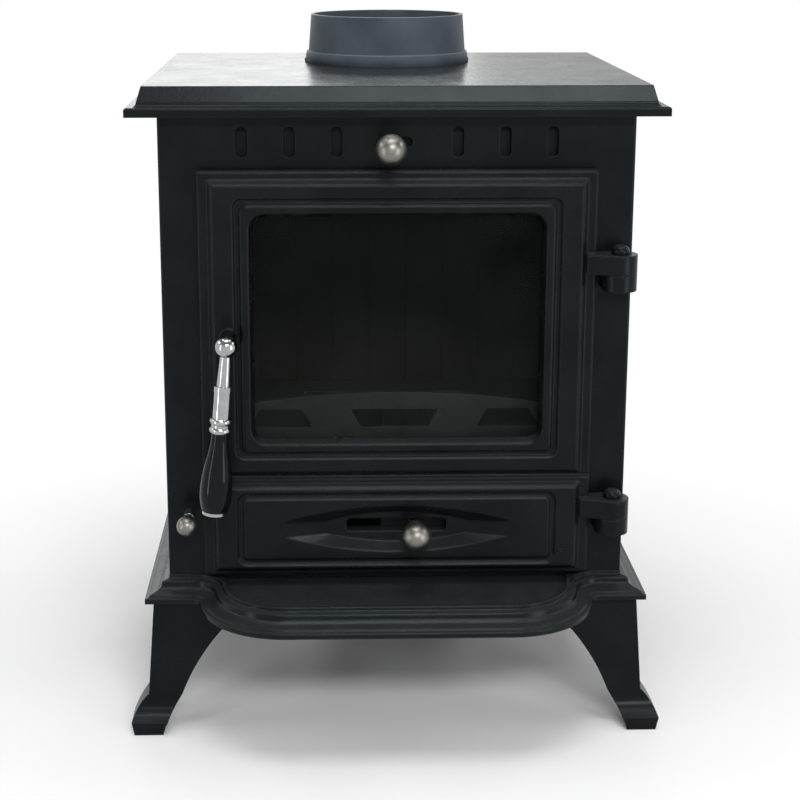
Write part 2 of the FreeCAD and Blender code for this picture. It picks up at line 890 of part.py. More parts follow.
def back_plate():
    body = new_body("back_plate")
    hole = ("0", "outlet_level", "flue_bore / 2")
    plate = rect("-half_width", "half_width", "base_top", "body_top")
    pad(body, "XZ", "inside_back", "back_wall", plate, hole)
    panel = centred("half_width - side_panel_border", "base_top + side_panel_border", "back_panel_high",
                    "side_panel_corner")
    pocket(body, "XZ", "body_depth - side_panel_depth", "side_panel_depth", panel)
    return body


def outlet_cover():
    body = new_body("outlet_cover", "0", "body_depth", "outlet_level")
    pad(body, "XZ", "0", "cover_thick", ("0", "0", "cover_disc / 2"))
    return body


def outlet_bolts():
    body = new_body("outlet_bolts", "0", "body_depth + cover_thick", "outlet_level")
    heads = [hexagon(side + "cover_bolt_spread / 2", "0", "cover_bolt_head") for side in ("-", "")]
    pad(body, "XZ", "0", "cover_bolt_rise", *heads)
    return body


def tie_rods():
    body = new_body("tie_rods")
    rods = []
    for side in ("-", ""):
        rods.append((side + "tie_front_x", "front_wall + tie_inset", "tie_rod / 2"))
        rods.append((side + "tie_rear_x", "inside_back - tie_inset", "tie_rod / 2"))
    pad(body, "XY", "base_top", "top_ceiling - base_top", *rods)
    return body


def slider_guides(label, seat, low, high, half, thick):
    """Two folded strips that hold a sliding plate against a face, above and below it."""
    body = new_body(label)
    lap = add(seat, "2 * slack", thick)
    outer = add(lap, "guide_sheet")
    for edge, sign in ((low, "-"), (high, "")):
        inner = add(edge, sign + "slack")
        path = [
            (seat, inner), (lap, inner), (lap, add(edge, minus(sign + "guide_lap"))),
            (outer, add(edge, minus(sign + "guide_lap"))), (outer, add(edge, sign + "guide_foot")),
            (seat, add(edge, sign + "guide_foot")),
        ]
        pad(body, "YZ", minus(half), "2 * (%s)" % half, path)
    return body


def airwash_slider():
    """A plate that shuts the six slots, and opens them when it is slid to the right."""
    body = new_body("airwash_slider")
    plate = rect("-airwash_left", "airwash_right", "airwash_low", "airwash_high")
    gates = vent_loops("vent_width + vent_play", "vent_height", "-airwash_travel")
    pad(body, "XZ", "airwash_front", "airwash_thick", plate, *gates)
    return body


def knob(label, x, seat, z, reach, ball, neck, collar):
    """A turned knob on a stem: its flat end sits on a seat and its ball stands out towards the front."""
    body = new_body(label, x, seat, z)
    ball_radius, neck_radius = "%s / 2" % ball, "%s / 2" % neck
    join = add(minus(reach), "sqrt((%s) ^ 2 - (%s) ^ 2)" % (ball_radius, neck_radius))
    bulge, span = "(%s - %s) / 2" % (collar, neck), "collar_span * %s" % collar
    bulge_radius = "((%s) ^ 2 + (%s) ^ 2 / 4) / (2 * (%s))" % (bulge, span, bulge)
    revolve(body, "XY", [
        ("0", add(minus(reach), minus(ball_radius)), ball_radius), (neck_radius, join, bulge_radius),
        (neck_radius, add(join, span)), (neck_radius, "0"), ("0", "0"),
    ])
    return body


def oval(length, height, tip):
    """A boat-shaped loop of two long arcs and two small ones, about the recess's level."""
    half, rise = "(%s / 2)" % length, "(%s / 2)" % height
    sweep = "(((%s - %s) ^ 2 + %s ^ 2 - %s ^ 2) / (2 * (%s - %s)))" % (half, tip, rise, tip, rise, tip)
    meet_x = "%s * (%s - %s) / (%s - %s)" % (sweep, half, tip, sweep, tip)
    meet_z = "%s * (%s - %s) / (%s - %s)" % (tip, sweep, rise, sweep, tip)
    low, high = add("dish_level", minus(meet_z)), add("dish_level", meet_z)
    far_x = minus(meet_x)
    return [(meet_x, low, tip), (meet_x, high, sweep), (far_x, high, tip), (far_x, low, sweep)]


def window_loop(grow, corner):
    """The window's outline in the door's face, grown outwards."""
    half = add("window_width / 2", grow)
    return centred(half, add("window_low", minus(grow)), add("window_high", grow), corner)


def knuckle_plan():
    """A door knuckle's plan: an arm from the door's edge to a round eye."""
    return [
        ("door_half - knuckle_root", "panel_face"), ("hinge_x", "-hinge_stand - lug", "lug"),
        ("hinge_x + lug", "-hinge_stand", "lug"), ("hinge_x", "-hinge_stand + lug"),
        ("door_half - knuckle_root", "door_back - knuckle_back"),
    ]


def is_panel_edge(box):
    """An edge in the raised panels' face."""
    return box.YLength < 0.01 and abs(box.YMax - number("panel_face")) < 0.01


def is_near_window(box, grow):
    """An edge in the panels' face, inside the window's outline as grown."""
    half = number("window_width / 2 + " + grow) + 0.01
    low, high = number("window_low - (%s)" % grow) - 0.01, number("window_high + " + grow) + 0.01
    inside = box.XMin > -half and box.XMax < half and box.ZMin > low and box.ZMax < high
    return inside and is_panel_edge(box)


def is_bead_edge(box):
    """An edge of the bead round the window."""
    return is_near_window(box, "bead_width")


def is_groove_edge(box):
    """An edge of the outer wall of the groove round the bead."""
    return is_near_window(box, "groove_out") and not is_bead_edge(box)


def is_frame_groove_edge(box):
    """An edge of the groove round the recess in the lower panel."""
    half = number("(frame_groove_width + frame_groove) / 2") + 0.01
    high = number("frame_groove_high + frame_groove / 2") + 0.01
    inside = box.XMin > -half and box.XMax < half and box.ZMax < high
    low = number("frame_groove_low - frame_groove / 2") - 0.01
    return inside and box.ZMin > low and is_panel_edge(box)


def is_door_rim(box):
    """An edge all round the door's border, in the border's face."""
    in_face = box.YLength < 0.01 and abs(box.YMax - number("door_face")) < 0.01
    side = box.XLength < 0.01 and abs(abs(box.XMax) - number("door_half")) < 0.01
    low = box.ZLength < 0.01 and abs(box.ZMax - number("door_low")) < 0.01
    high = box.ZLength < 0.01 and abs(box.ZMax - number("door_high")) < 0.01
    return in_face and (side or low or high)


def door_frame():
    body = new_body("door_frame")
    pad(body, "XZ", "door_face", "door_slab", rect("-door_half", "door_half", "door_low", "door_high"))
    round_edges(body, "door_edge_round", is_door_rim)
    for low, high in (("upper_panel_low", "upper_panel_high"), ("lower_panel_low", "lower_panel_high")):
        panel = rect("-panel_width / 2", "panel_width / 2", low, high)
        pad(body, "XZ", "panel_face", "panel_raise", panel, bevel="panel_bevel * 1 deg")
    round_edges(body, "panel_round", is_panel_edge)
    seam = [("door_face", "seam_level - seam_half"), ("door_face + seam_depth", "seam_level"),
            ("door_face", "seam_level + seam_half")]
    pocket(body, "YZ", "-door_half", "door_width", seam)
    window(body)
    air_recess(body)
    knuckles(body)
    latch_boss(body)
    rope_room(body)
    return body


def window(body):
    """The sloping window with its bead and groove, and the glass rebate behind it."""
    pocket(body, "XZ", "panel_face", "groove_depth", window_loop("groove_out", "bead_corner"),
           window_loop("bead_width", "bead_corner"))
    bevel_edges(body, "groove_bevel", is_groove_edge)
    pocket(body, "XZ", "panel_face", "panel_raise + door_slab", window_loop("0", "window_corner"),
           bevel="-window_slope * 1 deg")
    round_edges(body, "bead_round", is_bead_edge)
    rebate = rect("-rebate_half", "rebate_half", "rebate_low", "rebate_high")
    pocket(body, "XZ", "door_back - rebate_depth", "rebate_depth", rebate)


def air_recess(body):
    """The boat-shaped recess, the air slot in its floor and the groove round it."""
    outer = centred("(frame_groove_width + frame_groove) / 2", "frame_groove_low - frame_groove / 2",
                    "frame_groove_high + frame_groove / 2", "frame_groove_corner")
    inner = centred("(frame_groove_width - frame_groove) / 2", "frame_groove_low + frame_groove / 2",
                    "frame_groove_high - frame_groove / 2", "frame_groove_corner - frame_groove")
    pocket(body, "XZ", "panel_face", "frame_groove_depth", outer, inner)
    bevel_edges(body, "groove_bevel", is_frame_groove_edge)
    loft(body, "SubtractiveLoft", "XZ", [
        ("panel_face", oval("dish_length", "dish_height", "dish_tip")),
        ("panel_face + dish_depth", oval("dish_floor_length", "dish_floor_height", "dish_floor_tip")),
    ])
    slot = centred("air_slot_length / 2", "air_slot_level - air_slot_height / 2",
                   "air_slot_level + air_slot_height / 2", "air_slot_corner")
    pocket(body, "XZ", "panel_face", "panel_raise + door_slab", slot)


def knuckles(body):
    for level in ("hinge_upper", "hinge_lower"):
        pad(body, "XY", level + " + slack", "knuckle_height", knuckle_plan())
        bore = ("hinge_x", "-hinge_stand", "hinge_pin / 2 + running")
        pocket(body, "XY", level + " + slack", "knuckle_height", bore)


def latch_boss(body):
    pad(body, "XZ", "panel_face - boss_rise", "boss_rise", ("-latch_x", "latch_z", "boss / 2"))
    bore = ("-latch_x", "latch_z", "spindle / 2 + running")
    pocket(body, "XZ", "panel_face - boss_rise", "boss_rise + panel_raise + door_slab", bore)


def rope_loops():
    """The rope's outer and inner outline on the back of the door."""
    loops = []
    for inset in ("rope_margin", "rope_margin + rope_width"):
        half = "door_half - (%s)" % inset
        loops.append(rect(minus(half), half, add("door_low", inset), add("door_high", minus(inset))))
    return loops


def rope_room(body):
    pocket(body, "XZ", "door_back - rope_groove", "rope_groove", *rope_loops())


def door_rope_seal():
    body = new_body("door_rope_seal")
    pad(body, "XZ", "door_back - rope_groove", "rope_groove + door_gap - slack", *rope_loops())
    return body


def glass_loop(inset):
    half = add("rebate_half - glass_play", minus(inset))
    low, high = add("rebate_low + glass_play", inset), add("rebate_high - glass_play", minus(inset))
    return rect(minus(half), half, low, high)


def glass():
    body = new_body("glass")
    pad(body, "XZ", "glass_front", "glass_thick", glass_loop("0"))
    return body


def glass_gasket():
    body = new_body("glass_gasket")
    pad(body, "XZ", "door_back - rebate_depth", "gasket_thick", glass_loop("0"), glass_loop("gasket_width"))
    return body


def glass_clips():
    """Six small plates that hold the glass from behind."""
    body = new_body("glass_clips")
    middle = "(rebate_low + rebate_high) / 2"
    near, far = "-clip_bite", "clip_length - clip_bite"
    clips = []
    for z in (middle + " - clip_offset", middle + " + clip_offset"):
        low, high = add(z, "-clip_width / 2"), add(z, "clip_width / 2")
        clips.append(rect(add("rebate_half", near), add("rebate_half", far), low, high))
        clips.append(rect(minus(add("rebate_half", far)), minus(add("rebate_half", near)), low, high))
    clips.append(rect("-clip_width / 2", "clip_width / 2", add("rebate_high", near), add("rebate_high", far)))
    clips.append(rect("-clip_width / 2", "clip_width / 2", "rebate_low - clip_length + clip_bite",
                      "rebate_low + clip_bite"))
    pad(body, "XZ", "door_back", "clip_thick", *clips)
    return body


def air_slider():
    body = new_body("air_slider")
    plate = rect("-air_slider_left", "air_slider_right", "air_slider_low", "air_slider_high")
    gate = rect("-air_window_far", "-air_window_near", "air_slot_level - air_slot_height / 2",
                "air_slot_level + air_slot_height / 2")
    pad(body, "XZ", "air_slider_front", "air_slider_thick", plate, gate)
    return body


def latch_spindle():
    body = new_body("latch_spindle", "-latch_x", "0", "latch_z")
    pad(body, "XZ", "hub_end", "cam_front + cam_thick + latch_nut - hub_end", ("0", "0", "spindle / 2"))
    return body


def latch_cam():
    body = new_body("latch_cam", "-latch_x", "cam_front", "latch_z")
    tongue = centred("cam_width / 2", "-cam_width / 2", "cam_length", "cam_corner")
    pad(body, "XZ", "0", "cam_thick", tongue, ("0", "0", "spindle / 2 + running"))
    return body


def latch_nut():
    body = new_body("latch_nut", "-latch_x", "cam_front + cam_thick", "latch_z")
    bore = ("0", "0", "spindle / 2 + running")
    pad(body, "XZ", "0", "latch_nut", hexagon("0", "0", "latch_nut_flats"), bore)
    return body


def handle_body(label):
    """A handle piece, drawn hanging straight down from its ball and then tilted."""
    body = new_body(label, "-latch_x", "handle_y", "latch_z")
    body.Placement = FreeCAD.Placement(body.Placement.Base, FreeCAD.Rotation(FreeCAD.Vector(0, 1, 0), 1))
    bind(body, {"Placement.Rotation.Angle": "handle_tilt * 1 deg"})
    return body


def handle_arm():
    body = handle_body("handle_arm")
    ball, top = "handle_ball / 2", "neck_top / 2"
    revolve(body, "XZ", [
        ("0", "-ferrule_top"), ("shoulder / 2", "-ferrule_top"), ("shoulder / 2", "-neck_length"),
        ("neck_low / 2", "-neck_length"), (top, "-sqrt((%s) ^ 2 - (%s) ^ 2)" % (ball, top), ball),
        ("0", ball),
    ])
    pad(body, "XZ", "0", "hub_end - handle_y", ("0", "0", "handle_hub / 2"))
    return body


def handle_ferrule():
    """The plain ferrule and the two rings that follow it."""
    body = handle_body("handle_ferrule")
    first, second = "-ring_top - ring_length", "-ring_top - ring_length - ring_gap"
    revolve(body, "XZ", [
        ("0", "-grip_start"), ("ring_waist / 2", "-grip_start", "ring_round"), ("ring_waist / 2", second),
        ("ring_waist / 2", first, "ring_round"), ("ring_waist / 2", "-ring_top"),
        ("ferrule / 2", "-ring_top"), ("ferrule / 2", "-ferrule_top"), ("0", "-ferrule_top"),
    ])
    return body


def handle_grip():
    """A turned grip: a slim neck that swells to a belly near its lower end."""
    body = handle_body("handle_grip")
    revolve(body, "XZ", [
        ("0", "-grip_finish"), ("grip_end / 2", "-grip_finish", "grip_base_radius"),
        ("grip_belly / 2", "-grip_start - grip_belly_at", "grip_flank_radius"),
        ("grip_neck / 2", "-grip_start - grip_neck_at", "-grip_neck_radius"),
        ("grip_top / 2", "-grip_start"), ("0", "-grip_start"),
    ])
    return body


def handle_cap():
    body = handle_body("handle_cap")
    revolve(body, "XZ", [
        ("0", "-grip_finish - cap_length", "cap_radius"), ("cap / 2", "-grip_finish - cap_length / 2"),
        ("cap / 2", "-grip_finish"), ("0", "-grip_finish"),
    ])
    return body


def riddle_rod():
    """A rod bent square under the grate, with an upright pin at its inner end."""
    body = new_body("riddle_rod")
    start = sketch_on(body, "XZ", "riddle_seat")
    circle(start, "-riddle_x", "riddle_z", "riddle_rod / 2")
    way = sketch_on(body, "XY", "riddle_z")
    outline(way, [
        ("-riddle_x", "riddle_seat"), ("-riddle_x", "riddle_pin_y - riddle_bend", "-riddle_bend"),
        ("riddle_bend - riddle_x", "riddle_pin_y"), ("riddle_rod / 2", "riddle_pin_y"),
    ], closed=False)
    rod = body.newObject("PartDesign::AdditivePipe", "rod")
    rod.Profile = start
    rod.Spine = (way, ["Edge1", "Edge2", "Edge3"])
    pad(body, "XY", "riddle_z", "grate_top - slack - riddle_z", ("0", "riddle_pin_y", "riddle_pin / 2"))
    return body


def slots(near, far, first, count):
    """Upright grate slots, evenly spaced across the middle."""
    loops = []
    for k in range(count):
        x = "grate_slot_pitch * %s" % (first + k)
        loops.append(rect(add(x, "-grate_slot / 2"), add(x, "grate_slot / 2"), near, far))
    return loops


def grate_frame():
    body = new_body("grate_frame")
    half = "inside_half - slack"
    pad(body, "XY", "grate_low", "grate_thick", rect(minus(half), half, "grate_front", "grate_back"))
    well = rect("-grate_well_width / 2", "grate_well_width / 2", "grate_well_front", "grate_well_back")
    pocket(body, "XY", "well_floor", "grate_well_depth", well)
    through = slots("grate_well_front + grate_slot_end", "grate_well_back - grate_slot_end", -3, 7)
    pocket(body, "XY", "grate_low", "grate_thick - grate_well_depth", *through)
    return body


def shaker_grate():
    body = new_body("shaker_grate")
    half = "grate_well_width / 2 - shaker_play"
    plate = rect(minus(half), half, "shaker_back - shaker_length", "shaker_back")
    through = slots("shaker_back - shaker_length + grate_slot_end", "shaker_back - grate_slot_end", -2.5, 6)
    hole = ("0", "riddle_pin_y", "riddle_pin / 2 + running")
    pad(body, "XY", "well_floor + slack", "grate_well_depth - slack", plate, hole, *through)
    return body


def groove_row(middle, count):
    """Even grooves across a liner's face."""
    loops = []
    for k in range(count):
        at = "%s + %s * liner_groove_pitch" % (middle, k - (count - 1) / 2)
        near, far = add(at, "-liner_groove / 2"), add(at, "liner_groove / 2")
        loops.append(rect(near, far, "grate_top", "liner_top"))
    return loops


def side_liner(label, left):
    body = new_body(label)
    start = "-inside_half" if left else "liner_inner"
    face = "-liner_inner - liner_groove_depth" if left else "liner_inner"
    pad(body, "YZ", start, "liner_thick", rect("grate_front", "grate_back", "grate_top", "liner_top"))
    pocket(body, "YZ", face, "liner_groove_depth", *groove_row("(grate_front + grate_back) / 2", 6))
    return body


def rear_liner():
    body = new_body("rear_liner")
    half = "liner_inner - slack"
    front = "grate_back - liner_thick"
    pad(body, "XZ", front, "liner_thick", rect(minus(half), half, "grate_top", "liner_top"))
    pocket(body, "XZ", front, "liner_groove_depth", *groove_row("0", 8))
    return body


def baffle_plate():
    body = new_body("baffle_plate")
    half = "inside_half - slack"
    pad(body, "XY", "liner_top", "baffle_thick", rect(minus(half), half, "baffle_front", "grate_back"))
    return body


def log_guard():
    """A bar across the fire with an arched top and three pierced windows."""
    body = new_body("log_guard")
    arch = "(guard_half ^ 2 + guard_sag ^ 2) / (2 * guard_sag)"
    side_top = "grate_top + guard_height - guard_sag"
    bar = [("-guard_half", "grate_top"), ("guard_half", "grate_top"), ("guard_half", side_top, arch),
           ("-guard_half", side_top)]
    low, high = "grate_top + guard_window_low", "grate_top + guard_window_high"
    middle = [
        ("-guard_window_half", low), ("guard_window_half", low),
        ("guard_window_half + guard_window_lean", high), ("-guard_window_half - guard_window_lean", high),
    ]
    far = "guard_side_start + guard_side_length"
    side = [("guard_side_start", low), (far, low), (far + " - guard_window_lean", high),
            ("guard_side_start + guard_window_lean", high)]
    pad(body, "XZ", "guard_front", "guard_thick", bar, middle, side, mirror_x(side))
    return body


def ash_pan():
    body = new_body("ash_pan")
    inner = rect("pan_wall - pan_half", "pan_half - pan_wall", "pan_front + pan_wall", "pan_back - pan_wall")
    rim = rect("-pan_half - pan_rim", "pan_half + pan_rim", "pan_front - pan_rim", "pan_back + pan_rim")
    pad(body, "XY", "base_top", "pan_height", rect("-pan_half", "pan_half", "pan_front", "pan_back"))
    pocket(body, "XY", "base_top + pan_wall", "pan_height - pan_wall", inner)
    pad(body, "XY", "base_top + pan_height - pan_rim_thick", "pan_rim_thick", rim, inner)
    return body


def check_and_write():
    """Stops on a failed feature or an empty cut, then writes each piece."""
    doc.recompute()
    for thing in doc.Objects:
        if "Invalid" in thing.State or "Error" in thing.State:
            raise RuntimeError("%s failed: %s" % (thing.Label, thing.State))
        if thing.TypeId in ("PartDesign::Pocket", "PartDesign::SubtractiveLoft"):
            if thing.Shape.Volume > thing.BaseFeature.Shape.Volume - 0.01:
                raise RuntimeError("%s cuts nothing" % thing.Label)
    os.makedirs("parts", exist_ok=True)
    for piece in pieces:
        if piece.Shape.isNull() or not piece.Shape.isValid():
            raise RuntimeError("%s has no valid shape" % piece.Label)
        piece.Shape.exportStep(os.path.join("parts", piece.Label + ".step"))


base_plate()
for end, rear in (("front", False), ("rear", True)):
    leg("leg_%s_left" % end, True, rear)
    leg("leg_%s_right" % end, False, rear)
leg_bolts()
top_plate()
flue_collar()
front_plate()
hinge_pins()
side_plate("left_side_plate", True)
side_plate("right_side_plate", False)
back_plate()
outlet_cover()
outlet_bolts()
tie_rods()
grate_frame()
log_guard()
side_liner("left_liner", True)
side_liner("right_liner", False)
rear_liner()
baffle_plate()
ash_pan()
slider_guides("airwash_guides", "front_wall", "airwash_low", "airwash_high", "airwash_guide_half",
              "airwash_thick")
airwash_slider()
knob("airwash_knob", "-airwash_knob_x", "airwash_front", "vent_level", "airwash_knob_reach + airwash_front",
     "airwash_knob_ball", "airwash_knob_neck", "airwash_knob_collar")
door_frame()
glass()
glass_gasket()
glass_clips()
door_rope_seal()
slider_guides("air_slider_guides", "door_back", "air_slider_low", "air_slider_high", "air_guide_half",
              "air_slider_thick")
air_slider()
knob("air_knob", "air_knob_x", "air_slider_front", "air_slot_level", "air_knob_reach",
     "air_knob_ball", "air_knob_neck", "air_knob_collar")
latch_spindle()
latch_cam()
latch_nut()
handle_arm()
handle_ferrule()
handle_grip()
handle_cap()
riddle_rod()
knob("riddle_knob", "-riddle_x", "riddle_seat", "riddle_z", "riddle_knob_reach + riddle_seat",
     "riddle_knob_ball", "riddle_knob_neck", "riddle_knob_collar")
shaker_grate()
check_and_write()
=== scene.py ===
import json
import math

import bmesh
import bpy
from mathutils import Euler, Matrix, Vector


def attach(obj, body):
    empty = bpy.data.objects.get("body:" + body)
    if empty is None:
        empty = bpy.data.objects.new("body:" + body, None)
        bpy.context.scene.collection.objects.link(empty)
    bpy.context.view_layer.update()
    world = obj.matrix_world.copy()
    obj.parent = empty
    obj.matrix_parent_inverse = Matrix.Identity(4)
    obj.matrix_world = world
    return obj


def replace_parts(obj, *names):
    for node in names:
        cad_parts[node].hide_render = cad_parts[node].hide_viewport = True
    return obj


# A small cast-iron room stove: looks, small fasteners, seals, light and camera.
# Sizes are in millimetres in the stove's own frame, with its front plate at depth 0.
# The floor, the world and the lamps are in metres.

MM = 0.001
FRONT_Y = -124
QUARTER, TURN = math.pi / 2, 2 * math.pi

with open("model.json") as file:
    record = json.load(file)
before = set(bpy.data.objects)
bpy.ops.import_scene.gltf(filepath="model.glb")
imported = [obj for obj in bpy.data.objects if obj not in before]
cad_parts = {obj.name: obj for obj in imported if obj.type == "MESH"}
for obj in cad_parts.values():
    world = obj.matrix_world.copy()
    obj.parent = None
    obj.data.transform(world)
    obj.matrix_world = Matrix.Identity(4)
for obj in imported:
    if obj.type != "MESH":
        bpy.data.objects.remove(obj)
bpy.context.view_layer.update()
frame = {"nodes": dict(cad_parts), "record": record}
nodes = frame["nodes"]


def spot(x, y, z):
    """A point of the stove's own frame, in the scene."""
    return Vector((x, y + FRONT_Y, z)) * MM


def placed(name, data):
    """An object of some data, linked to the scene."""
    made = bpy.data.objects.new(name, data)
    bpy.context.scene.collection.objects.link(made)
    return made


# Looks

class Look:
    """A procedural material, put together node by node in the piece's own metres."""

    def __init__(self, name, finish):
        self.material = bpy.data.materials.new(name)
        self.material.use_nodes = True
        self.tree = self.material.node_tree
        self.shader = self.tree.nodes["Principled BSDF"]
        for socket, value in finish.items():
            self.shader.inputs[socket].default_value = value
        self.place = self.add("TexCoord", {}).outputs["Object"]

    def add(self, kind, sockets, **settings):
        """A node with its settings made and its sockets set or linked."""
        node = self.tree.nodes.new("ShaderNode" + kind)
        for name, value in settings.items():
            setattr(node, name, value)
        for socket, value in sockets.items():
            if isinstance(value, bpy.types.NodeSocket):
                self.tree.links.new(value, node.inputs[socket])
            else:
                node.inputs[socket].default_value = value
        return node

    def noise(self, size, detail=3.0, stretch=(1, 1, 1)):
        """Cloudy noise whose features are about a size in millimetres."""
        place = self.add("Mapping", {"Vector": self.place, "Scale": stretch}).outputs["Vector"]
        scale = 1 / (size * MM)
        return self.add("TexNoise", {"Vector": place, "Scale": scale, "Detail": detail}).outputs["Fac"]

    def cells(self, size):
        """Distance to the nearest of many scattered points."""
        return self.add("TexVoronoi", {"Vector": self.place, "Scale": 1 / (size * MM)}).outputs["Distance"]

    def maths(self, operation, a, b):
        return self.add("Math", {0: a, 1: b}, operation=operation).outputs["Value"]

    def span(self, factor, low, high, start=0.0, end=1.0):
        """A factor between start and end, spread over low to high."""
        sockets = {"Value": factor, "From Min": start, "From Max": end, "To Min": low, "To Max": high}
        return self.add("MapRange", sockets).outputs["Result"]

    def ramp(self, factor, stops):
        """Colours along a factor, each a position and a colour."""
        node = self.add("ValToRGB", {"Fac": factor})
        row = node.color_ramp.elements
        while len(row) < len(stops):
            row.new(0.5)
        for element, (position, colour) in zip(row, stops):
            element.position = position
            element.color = (*colour, 1)
        return node.outputs["Color"]

    def blend(self, factor, first, second):
        """One colour turning into a second by a factor."""
        node = self.add("Mix", {0: factor, 6: first, 7: (*second, 1)}, data_type="RGBA")
        return node.outputs[2]

    def height(self, vector):
        """The upward part of a vector."""
        return self.add("SeparateXYZ", {"Vector": vector}).outputs["Z"]

    def facing(self):
        """The surface's own normal."""
        return self.add("NewGeometry", {}).outputs["Normal"]

    def edges(self, radius):
        """A normal that rounds sharp edges, and a mask that is 1 along them."""
        soft = self.add("Bevel", {"Radius": radius * MM}, samples=6).outputs["Normal"]
        same = self.add("VectorMath", {0: soft, 1: self.facing()}, operation="DOT_PRODUCT").outputs["Value"]
        return soft, self.span(same, 1.0, 0.0, start=0.75, end=0.98)

    def bump(self, height, depth, strength, normal=None):
        sockets = {"Height": height, "Distance": depth * MM, "Strength": strength}
        if normal:
            sockets["Normal"] = normal
        return self.add("Bump", sockets).outputs["Normal"]

    def finish(self, **links):
        """Links sockets of the shader by name, with _ for a space."""
        for name, output in links.items():
            self.tree.links.new(output, self.shader.inputs[name.replace("_", " ")])
        return self.material


# Colours are linear red, green and blue
PAINT_SHEEN = (0.83, 0.965, 1.0, 1.0)
BLACK_LEAN = (0.88, 1.0, 1.072)
# A film of dust on what faces up, pale enough to be also a painted top light, the light that falls from
# above
DUST_AND_TOP_LIGHT, DUST_AND_TOP_LIGHT_FROM = (0.022, 0.026, 0.027), 0.45
# A painted highlight along edges, as a multiple of the paint's pale tone; it also stands for paint rubbed
# thin there
EDGE_WEAR_AND_HIGHLIGHT = 5


def black(level):
    """A black that leans to blue."""
    return tuple(level * part for part in BLACK_LEAN)


def iron_paint(name, dark, light, shine, rough, edge_round=1.0, wear_and_highlight=0.6):
    """Satin stove paint over a cast grain, lighter along the edges with a painted highlight that also stands
    for paint rubbed thin, and lighter on what faces up with a film of dust and a painted top light.
    """
    look = Look(name, {"Specular IOR Level": shine, "Specular Tint": PAINT_SHEEN})
    soft, edge = look.edges(edge_round)
    cloud = look.noise(40, detail=4)
    tone = look.ramp(cloud, [(0.35, dark), (0.65, light)])
    # What faces up turns lighter: dust, together with a painted top light
    upward = look.span(look.height(look.facing()), 0.0, 1.0, start=DUST_AND_TOP_LIGHT_FROM)
    patches = look.span(look.noise(22, detail=4), 0.75, 1.0, start=0.3, end=0.7)
    dust_and_top_light = look.blend(look.maths("MULTIPLY", upward, patches), tone, DUST_AND_TOP_LIGHT)
    # Lighter along the edges: a painted highlight that also stands for paint rubbed thin
    pale_edges = look.blend(look.maths("MULTIPLY", edge, wear_and_highlight), dust_and_top_light, [EDGE_WEAR_AND_HIGHLIGHT * c for c in light])
    satin = look.span(cloud, rough - 0.03, rough + 0.03, start=0.3, end=0.7)
    speck = look.span(look.noise(1.3, detail=2), -0.04, 0.04)
    sheen = look.maths("ADD", satin, speck)
    swell = look.maths("MULTIPLY", look.noise(9, detail=2), 0.3)
    grain = look.maths("ADD", look.noise(2.2, detail=3), swell)
    normal = look.bump(grain, depth=0.16, strength=0.4, normal=soft)
    return look.finish(Base_Color=pale_edges, Roughness=sheen, Normal=normal)


IRON_TONES = [(0.3, (0.017, 0.017, 0.017)), (0.55, (0.026, 0.0265, 0.026)), (0.75, (0.036, 0.0355, 0.034))]
IRON_EDGE = (0.11, 0.105, 0.1)


def raw_iron(name):
    """Bare cast iron: scaly, dark grey and rough."""
    look = Look(name, {"Specular IOR Level": 0.3})
    soft, edge = look.edges(0.8)
    scale = look.noise(14, detail=5)
    pale_edges = look.blend(look.maths("MULTIPLY", edge, 0.5), look.ramp(scale, IRON_TONES), IRON_EDGE)
    grain = look.maths("ADD", look.noise(2.5, detail=4), look.cells(3.5))
    normal = look.bump(grain, depth=0.3, strength=0.6, normal=soft)
    return look.finish(Base_Color=pale_edges, Roughness=look.span(scale, 0.6, 0.85), Normal=normal)


BOARD_TONES = [(0.1, (0.17, 0.135, 0.09)), (0.45, (0.105, 0.088, 0.066)), (0.8, (0.06, 0.05, 0.04))]
# The dark colour is a painted shade of the firebox; the chip colour is pale edge wear
BOARD_SHADE, BOARD_CHIP = (0.008, 0.0076, 0.0072), (0.05, 0.042, 0.032)
SHADE_LOW, SHADE_HIGH = 0.15, 0.30


def board(name):
    """Pressed insulating board: warm grey with mica flecks, under a painted shade that hides nearly all of
    them and is densest towards its top.
    """
    look = Look(name, {"Specular IOR Level": 0.2})
    soft, edge = look.edges(1.2)
    fleck = look.cells(3.2)
    # A painted shade of the firebox, hiding the flecks more towards the top
    risen = look.span(look.height(look.place), 0.9, 1.0, start=SHADE_LOW, end=SHADE_HIGH)
    painted_shade = look.maths("MULTIPLY", risen, look.span(look.noise(60, detail=4), 0.92, 1.05))
    tone = look.blend(painted_shade, look.ramp(fleck, BOARD_TONES), BOARD_SHADE)
    chipped = look.blend(look.maths("MULTIPLY", edge, 0.05), tone, BOARD_CHIP)
    normal = look.bump(fleck, depth=0.35, strength=0.5, normal=soft)
    return look.finish(Base_Color=chipped, Roughness=look.span(fleck, 0.75, 0.95), Normal=normal)


def rolled_steel(name, dark, light, rough, metal):
    """Rolled sheet or a bar: fine lines along X, faint stains."""
    look = Look(name, {"Metallic": metal, "Specular IOR Level": 0.12})
    soft, edge = look.edges(0.5)
    lines = look.noise(0.5, detail=2, stretch=(0.03, 1, 1))
    stain = look.noise(25, detail=4)
    tone = look.ramp(stain, [(0.3, dark), (0.7, light)])
    pale_edges = look.blend(look.maths("MULTIPLY", edge, 0.5), tone, [1.5 * c for c in light])
    brushed = look.span(lines, rough - 0.08, rough + 0.08)
    sheen = look.maths("ADD", brushed, look.span(stain, -0.05, 0.05))
    normal = look.bump(lines, depth=0.03, strength=0.3, normal=soft)
    return look.finish(Base_Color=pale_edges, Roughness=sheen, Normal=normal)


